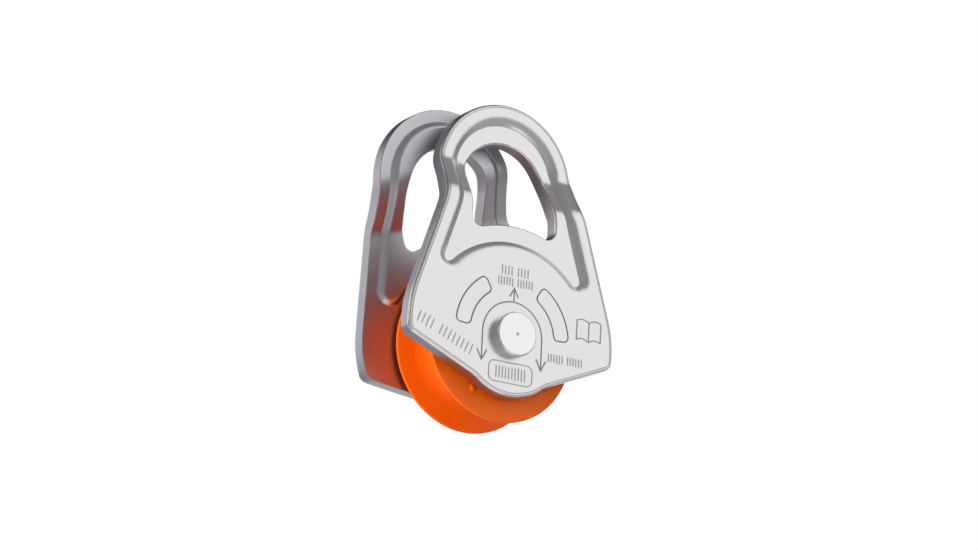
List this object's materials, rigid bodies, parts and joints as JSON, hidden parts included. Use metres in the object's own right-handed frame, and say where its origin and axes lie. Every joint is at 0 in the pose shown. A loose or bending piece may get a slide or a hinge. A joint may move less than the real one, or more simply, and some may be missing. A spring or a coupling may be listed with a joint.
{
  "type": "rope pulley",
  "caption": "Light rope pulley: two joggled aluminium side plates with carabiner eyes swing on a riveted axle round an orange nylon sheave on a plain bush.",
  "frame": {"origin": "centre of the axle, midway between the two side plates", "axes": "+X across the plates to the right seen from the front plate, +Y along the axle from the front plate to the rear plate, +Z from the axle to the front plate's eye"},
  "size_m": [0.0599, 0.0317, 0.0814],
  "materials": {
    "plate_aluminium": "stamped and tumbled bright",
    "sheave_nylon": "moulded orange nylon, satin gloss",
    "bush_bronze": "sintered and oil filled",
    "axle_alloy": "turned and polished",
    "sleeve_steel": "ground",
    "washer_acetal": "smooth black acetal"
  },
  "bodies": {
    "front_plate": {"front_side_plate": "plate_aluminium", "axle_rivet": "axle_alloy", "axle_sleeve": "sleeve_steel", "front_thrust_washer": "washer_acetal", "rear_thrust_washer": "washer_acetal"},
    "rear_plate": {"rear_side_plate": "plate_aluminium"},
    "sheave": {"sheave": "sheave_nylon", "sheave_bush": "bush_bronze"}
  },
  "joints": [
    {"name": "rear_plate_swing", "type": "hinge", "parent": "front_plate", "child": "rear_plate", "pos_m": [0, 0, 0], "axis": [0, 1, 0], "continuous": true},
    {"name": "sheave_spin", "type": "hinge", "parent": "front_plate", "child": "sheave", "pos_m": [0, 0, 0], "axis": [0, 1, 0], "continuous": true}
  ]
}
